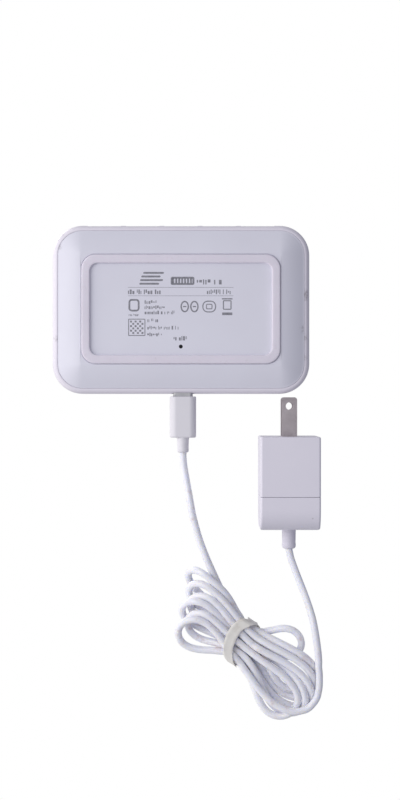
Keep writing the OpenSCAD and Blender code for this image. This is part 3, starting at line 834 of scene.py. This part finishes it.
plug_handle = make_plug_handle()
plug_relief = make_strain_relief("plug_strain_relief", "plug_white", "plug_neck", INLET_X, INLET_Z,
                                 NECK_LOW.y, NECK_HIGH.y, 2.5, 2.3)


# --- adapter


def make_adapter_front():
    """Front half: rounded edges all round, a flat blade face, and a chamfer at the joint line."""
    half_x, half_z = (CAP_HIGH.x - CAP_LOW.x) / 2, (CAP_HIGH.z - CAP_LOW.z) / 2
    y0, y1 = CAP_LOW.y, CAP_HIGH.y
    rings = []
    rows = front_edge(y0, 0.6)
    rows += [(y0 + 6, 0.0), (y0 + 14, 0.0), (y1 - 2, 0.0), (y1 - 0.2, 0.0), (y1 - 0.06, 0.04), (y1, 0.2)]
    for y, inset in rows:
        ring = rounded(half_x - inset, half_z - inset, max(0.9 - inset * 0.5, 0.5), 8)
        rings.append([(ADAPTER_X + x, y, ADAPTER_Z + z) for x, z in ring])
    verts, faces = loft(rings)
    piece = make_piece("adapter_front_half", verts, faces, "adapter_white", "power_lead", ("adapter_cap",), angle=40)
    weighted_normals(piece)
    return piece


def make_adapter_back():
    """Rear half: its two broad ends roll over to the cord side, its narrow sides keep a small round."""
    half_x, half_z = (REAR_HIGH.x - REAR_LOW.x) / 2, (REAR_HIGH.z - REAR_LOW.z) / 2
    y0, y1, side_r = REAR_LOW.y, REAR_HIGH.y, 0.9
    rows = [(y0, 0.2, 0.2), (y0 + 0.06, 0.04, 0.04), (y0 + 0.2, 0.0, 0.0), (y0 + 2.5, 0.0, 0.0)]
    roll = y1 - REAR_EDGE_R
    for k in range(25):
        a = math.radians(90 * k / 24)
        y = roll + REAR_EDGE_R * math.sin(a)
        z_in = REAR_EDGE_R * (1 - math.cos(a))
        past = max(0.0, (y - (y1 - side_r)) / side_r)
        rows.append((y, side_r * (1 - math.sqrt(max(0.0, 1 - past * past))), z_in))
    rings = []
    for y, x_in, z_in in rows:
        ring = rounded(half_x - x_in, half_z - z_in, 0.9, 8)
        rings.append([(ADAPTER_X + x, y, ADAPTER_Z + z) for x, z in ring])
    verts, faces = loft(rings)
    piece = make_piece("adapter_rear_half", verts, faces, "adapter_white", "power_lead", ("adapter_rear",), angle=40)
    weighted_normals(piece)
    return piece


adapter_front = make_adapter_front()
adapter_back = make_adapter_back()
adapter_relief = make_strain_relief("adapter_strain_relief", "adapter_white", "adapter_gland", ADAPTER_X, ADAPTER_Z,
                                    REAR_HIGH.y, GLAND_HIGH.y, 2.95, 2.8, collar=4.7)


# --- switch case


def make_top_shell():
    """Upper cover as one hollow shell, its lower edge curling in to the joint line, cut for ports and inlet."""
    curl = arc_rows((PARTING_INSET, PARTING_Z + CURL_H), (PARTING_INSET, CURL_H), 270, 180, 10)
    edge = arc_rows((TOP_EDGE_R, CASE_TOP - TOP_EDGE_R), (TOP_EDGE_R, TOP_EDGE_R), 180, 90, 12)
    outer = curl + [(0.0, 10.0), (0.0, 13.0)] + edge + [(9.0, CASE_TOP), (CORNER_R - 0.05, CASE_TOP)]
    inner = [(CORNER_R - 0.05, CASE_TOP - ROOF), (TOP_EDGE_R, CASE_TOP - ROOF)]
    inner += arc_rows((TOP_EDGE_R, CASE_TOP - TOP_EDGE_R), (TOP_EDGE_R - WALL, TOP_EDGE_R - ROOF), 90, 180, 6)[1:]
    inner += [(WALL, PARTING_Z + 0.25), (WALL - 0.2, PARTING_Z)]
    sides = 4 * 17
    verts, faces = loft([case_ring(inset, z) for inset, z in outer + inner], caps=False)
    top_ring = (len(outer) - 1) * sides
    faces = [f for f in faces if not (f[0] >= top_ring and f[0] < top_ring + sides)]
    faces.append(tuple(top_ring + k for k in range(sides)))
    faces.append(tuple(top_ring + sides + k for k in range(sides)))
    last = (len(outer) + len(inner) - 1) * sides
    faces += [(last + k, last + (k + 1) % sides, (k + 1) % sides, k) for k in range(sides)]
    shell = make_piece("top_shell", verts, faces, "case_white", "device", ("top_cover",), angle=32)

    def cutter(window, at_x, at_z, ys):
        return loft([[(at_x + x, y, at_z + z) for x, z in window] for y in ys])

    window = rounded(NOSE_SIZE[0] / 2, NOSE_SIZE[1] / 2, 0.8, 6)
    cutters = [cutter(window, i * PORT_PITCH, NOSE_Z, (-CASE_HALF[1] - 3, -CASE_HALF[1] + 4)) for i in PORT_INDEXES]
    window = rounded(INLET_SIZE[0] / 2, INLET_SIZE[1] / 2, 1.8, 8)
    cutters.append(cutter(window, INLET_X, INLET_Z, (CASE_HALF[1] - 4, CASE_HALF[1] + 3)))
    cut_away(shell, cutters)
    bevel(shell, 0.22, 3, 50)
    return shell


def make_base():
    """Lower cover: a lip at the joint line, a long soft slope, the ring's pocket and the recessed panel."""
    lip = LIP_INSET
    span = CORNER_R - lip - PLATE_R
    rows = [(lip + 0.22, PARTING_Z + 0.8), (lip + 0.2, PARTING_Z + 0.03), (lip + 0.06, PARTING_Z - 0.03),
            (lip, PARTING_Z - 0.16)]
    steps = 26
    for k in range(1, steps + 1):
        t = 1 - k / steps
        eased = t * t / (t + 0.06) * 1.06
        rise = SLOPE_SHARE * eased + (1 - SLOPE_SHARE) * eased * eased
        z = PLATE_Z + rise * (PARTING_Z - PLATE_Z)
        inset = lip + (1 - t) * span
        if z < rows[-1][1] - 0.01:
            rows.append((inset, z))
    rings = [case_ring(inset, z) for inset, z in rows]
    pocket = (FOOT_HALF[0] + FOOT_GAP, FOOT_HALF[1] + FOOT_GAP, FOOT_R + FOOT_GAP)
    for grow, z in ((0.14, PLATE_Z), (0.04, PLATE_Z + 0.04), (0.0, PLATE_Z + 0.14), (0.0, PANEL_Z)):
        rings.append([(x, y, z) for x, y in rounded(pocket[0] + grow, pocket[1] + grow, pocket[2] + grow, 16)])
    verts, faces = loft(rings, caps=False)
    sides = len(rings[0])
    hole_sides = 32
    base_count = len(verts)
    rim = base_count - sides
    hole = [(PINHOLE_R * math.cos(2 * math.pi * k / hole_sides),
             PINHOLE_Y + PINHOLE_R * math.sin(2 * math.pi * k / hole_sides)) for k in range(hole_sides)]
    for grow, z in ((0.12, PANEL_Z), (0.03, PANEL_Z + 0.03), (0.0, PANEL_Z + 0.12), (0.0, FLOOR_Z)):
        factor = (PINHOLE_R + grow) / PINHOLE_R
        verts += [(x * factor, PINHOLE_Y + (y - PINHOLE_Y) * factor, z) for x, y in hole]
    for i in range(3):
        faces += quads(base_count + i * hole_sides, base_count + (i + 1) * hole_sides, hole_sides)
    mesh = bpy.data.meshes.new("base_shell")
    # the inside: a flat floor that rises to the lip
    inner_start = len(verts)
    inside = [(lip + 0.22, PARTING_Z + 0.8), (lip + 1.1, PARTING_Z + 0.8), (lip + 2.5, PARTING_Z),
              (CORNER_R - 2.6, FLOOR_Z)]
    for inset, z in inside:
        verts += case_ring(inset, z)
    for i in range(3):
        faces += quads(inner_start + i * sides, inner_start + (i + 1) * sides, sides)
    mesh.from_pydata([Vector(v) * MM for v in verts], [], faces)
    bm = bmesh.new()
    bm.from_mesh(mesh)
    bm.verts.ensure_lookup_table()

    def loop_edges(start, count):
        return [bm.edges.get((bm.verts[start + k], bm.verts[start + (k + 1) % count])) for k in range(count)]

    for outer_start, hole_start in ((rim, base_count), (inner_start + 3 * sides, base_count + 3 * hole_sides)):
        edges = loop_edges(outer_start, sides) + loop_edges(hole_start, hole_sides)
        bmesh.ops.triangle_fill(bm, use_beauty=True, edges=[e for e in edges if e])
    bm.to_mesh(mesh)
    bm.free()
    base = finish_piece("base_shell", mesh, "cover_white", "device", ("bottom_cover",), angle=26)
    weighted_normals(base)
    return base


def make_foot():
    """Silicone ring: a soft crowned band with rounded shoulders, standing in its pocket."""
    profile = [(0.0, PANEL_Z - 0.02), (0.0, 0.5), (0.05, 0.25), (0.2, 0.08), (0.45, 0.01), (0.9, 0.0),
               (FOOT_BAND / 2, 0.0), (FOOT_BAND - 0.9, 0.0), (FOOT_BAND - 0.45, 0.01), (FOOT_BAND - 0.2, 0.08),
               (FOOT_BAND - 0.05, 0.25), (FOOT_BAND, 0.5), (FOOT_BAND, PANEL_Z - 0.02)]
    rings = []
    for inset, z in profile:
        share = inset / FOOT_BAND
        radius = FOOT_R + (FOOT_INNER_R - FOOT_R) * share
        rings.append([(x, y, z) for x, y in rounded(FOOT_HALF[0] - inset, FOOT_HALF[1] - inset, radius, 20)])
    verts, faces = loft(rings, closed=True)
    return make_piece("foot_band", verts, faces, "foot_silicone", "device", ("foot_ring",), angle=45)


make_top_shell()
make_base()
make_foot()


# --- printed marks on the panel: plain bars, rings and frames, 0.02 mm proud of it


class Marks:
    def __init__(self):
        self.verts, self.faces = [], []
        self.near, self.far = PANEL_Z - 0.02, PANEL_Z + 0.01

    def fill(self, points):
        start, count = len(self.verts), len(points)
        for z in (self.near, self.far):
            self.verts += [(x, y, z) for x, y in points]
        self.faces.append(tuple(start + k for k in range(count)))
        self.faces.append(tuple(start + count + k for k in range(count)))
        self.faces += [(start + k, start + (k + 1) % count, start + count + (k + 1) % count, start + count + k)
                       for k in range(count)]

    def bar(self, x0, y0, x1, y1, radius=0.15, slant=0.0):
        half_x, half_y = (x1 - x0) / 2, (y1 - y0) / 2
        middle = ((x0 + x1) / 2, (y0 + y1) / 2)
        points = rounded(half_x, half_y, min(radius, half_x * 0.98, half_y * 0.98), 4, middle)
        self.fill([(x - slant * (y - middle[1]), y) for x, y in points])

    def outline(self, outer, inner):
        start, count = len(self.verts), len(outer)
        for points, z in ((outer, self.near), (inner, self.near), (inner, self.far), (outer, self.far)):
            self.verts += [(x, y, z) for x, y in points]
        for i in range(4):
            self.faces += quads(start + i * count, start + (i + 1) % 4 * count, count)

    def frame(self, x0, y0, x1, y1, line, radius):
        half_x, half_y = (x1 - x0) / 2, (y1 - y0) / 2
        middle = ((x0 + x1) / 2, (y0 + y1) / 2)
        self.outline(rounded(half_x, half_y, radius, 5, middle),
                     rounded(half_x - line, half_y - line, max(radius - line, 0.03), 5, middle))

    def words(self, x0, y0, x1, y1, seed):
        """Stands for a line of print: fine upright bars of uneven height and width, with gaps as between words."""
        rng = random.Random(seed)
        height = y1 - y0
        x = x0
        while x < x1 - 0.4 * height:
            width = min(rng.choice((0.17, 0.2, 0.3, 0.42)) * height, x1 - x)
            top, bottom = y0 + rng.choice((0.0, 0.22, 0.3)) * height, y1 - rng.choice((0.0, 0.0, 0.3)) * height
            self.bar(x, top, x + width, bottom, 0.06)
            x += width + (0.17 if rng.random() < 0.8 else 0.55) * height


def make_marks():
    m = Marks()
    for y in (-9.0, -5.5):
        m.bar(-21.9, y - 0.07, 21.75, y + 0.07, 0.05)
    for y, x0, x1 in ((-14.6, -15.6, -7.0), (-13.1, -16.4, -8.4), (-11.6, -16.9, -7.4), (-10.1, -17.2, -9.0)):
        m.bar(x0, y - 0.8, x1, y, 0.4, slant=0.18)
    m.frame(-4.2, -13.4, 5.6, -10.0, 0.8, 0.7)
    for k in range(7):
        m.bar(-3.5 + k * 1.22, -12.7, -2.75 + k * 1.22, -10.7, 0.1)
    m.words(6.6, -12.9, 17.0, -10.2, 3)
    m.words(-21.9, -8.1, -7.6, -6.2, 4)
    m.words(10.8, -8.1, 21.4, -6.2, 5)
    m.frame(-21.7, -4.2, -17.1, 1.0, 0.75, 1.4)
    m.words(-21.6, 1.9, -17.2, 2.9, 6)
    for y, x1, seed in ((-2.9, -9.0, 7), (-0.75, -5.7, 8), (1.4, -1.5, 9)):
        m.words(-15.0, y - 0.75, x1, y + 0.75, seed)
    for cx in (1.6, 5.6):
        circle = [(math.cos(2 * math.pi * k / 40), math.sin(2 * math.pi * k / 40)) for k in range(40)]
        m.outline([(cx + 1.75 * x, -1.05 + 2.4 * y) for x, y in circle],
                  [(cx + 1.2 * x, -1.05 + 1.8 * y) for x, y in circle])
        m.bar(cx - 0.7, -1.3, cx + 0.7, -0.8, 0.1)
    m.frame(8.9, -3.5, 14.6, 1.4, 0.45, 2.2)
    m.frame(10.4, -2.2, 13.1, 0.1, 0.4, 0.6)
    m.frame(17.4, -3.7, 21.0, 0.3, 0.45, 0.5)
    m.bar(17.0, -4.5, 21.4, -4.0, 0.1)
    m.bar(17.1, 1.4, 21.3, 2.5, 0.1)
    m.frame(-21.8, 4.0, -14.7, 11.1, 0.35, 0.3)
    for i in range(6):
        for j in range(6):
            if (i + j) % 2 == 0:
                x, y = -21.05 + i * 0.95, 4.75 + j * 0.95
                m.bar(x, y, x + 0.8, y + 0.8, 0.1)
    for y, x1, seed in ((4.7, -8.4, 10), (7.7, -0.5, 11), (10.5, -7.3, 12)):
        m.words(-13.9, y - 0.75, x1, y + 0.75, seed)
    m.words(-3.0, 11.2, 3.0, 13.0, 21)
    return make_piece("panel_print", m.verts, m.faces, None, "device", angle=30, material=INK)


make_marks()


# --- CAD nodes that stay: finishes, and a small round on their edges

KEPT = {
    "main_board": ("board_green", 0.0), "board_screws": ("screw_steel", 0.15), "port_shields": ("shield_steel", 0.0),
    "port_lights": ("light_clear", 0.08), "inlet_shell": ("shield_steel", 0.06), "inlet_tongue": ("chip_black", 0.06),
    "switch_chip": ("chip_black", 0.1), "thermal_pad": ("pad_blue", 0.1), "heat_sink": ("sink_aluminium", 0.12),
    "line_transformers": ("chip_black", 0.2), "clock_crystal": ("can_grey", 0.2), "power_inductors": ("can_grey", 0.3),
    "board_capacitors": ("can_grey", 0.3), "regulator_chip": ("chip_black", 0.1),
    # the reset plunger is ivory, but takes the black chip look as painted shade, so that the pinhole reads dark
    "reset_switch_body": ("can_grey", 0.1), "reset_plunger": ("chip_black", 0.12),
    "plug_shell": ("shield_steel", 0.06), "plug_core": ("chip_black", 0.06),
    "blade_lower": ("blade_nickel", 0.28), "blade_upper": ("blade_nickel", 0.28),
    "adapter_board": ("board_green", 0.0), "adapter_transformer": ("winding_tape", 0.4),
    "input_capacitor": ("chip_black", 0.3), "output_capacitor": ("can_grey", 0.3),
    "safety_fuse": ("plunger_ivory", 0.2),
}
for i in range(1, 6):
    KEPT[f"port_jack_{i}"] = ("jack_white", 0.25)
    KEPT[f"port_contacts_{i}"] = ("contact_gold", 0.06)

for name, (slot, width) in KEPT.items():
    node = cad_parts[name]
    node.data.materials.clear()
    node.data.materials.append(LOOK[slot])
    if width:
        bevel(node, width, 2, 40, weld=True)


# --- the surface that it lies on


def make_floor():
    """Pale floor seen from above only: it blocks no light and no view from below."""
    size, drop = 3.0, -0.0001
    mesh = bpy.data.meshes.new("floor")
    corners = [(-size, -size, drop), (size, -size, drop), (size, size, drop), (-size, size, drop)]
    mesh.from_pydata(corners, [], [(0, 1, 2, 3)])
    floor = bpy.data.objects.new("floor", mesh)
    bpy.context.scene.collection.objects.link(floor)
    s = Shader("floor_pale", 0.6, specular=0.2)
    s.main.inputs["Base Color"].default_value = (0.86, 0.86, 0.87, 1)
    s.main.inputs["Emission Color"].default_value = (1, 1, 1, 1)
    s.main.inputs["Emission Strength"].default_value = 0.12
    nodes = s.tree.nodes
    clear = nodes.new("ShaderNodeBsdfTransparent")
    side = nodes.new("ShaderNodeNewGeometry")
    mix = nodes.new("ShaderNodeMixShader")
    s.link(side.outputs["Backfacing"], mix.inputs["Fac"])
    s.link(s.main.outputs["BSDF"], mix.inputs[1])
    s.link(clear.outputs["BSDF"], mix.inputs[2])
    s.link(mix.outputs["Shader"], nodes["Material Output"].inputs["Surface"])
    mesh.materials.append(s.material)
    for ray in ("shadow", "diffuse", "glossy", "transmission", "volume_scatter"):
        setattr(floor, "visible_" + ray, False)


make_floor()
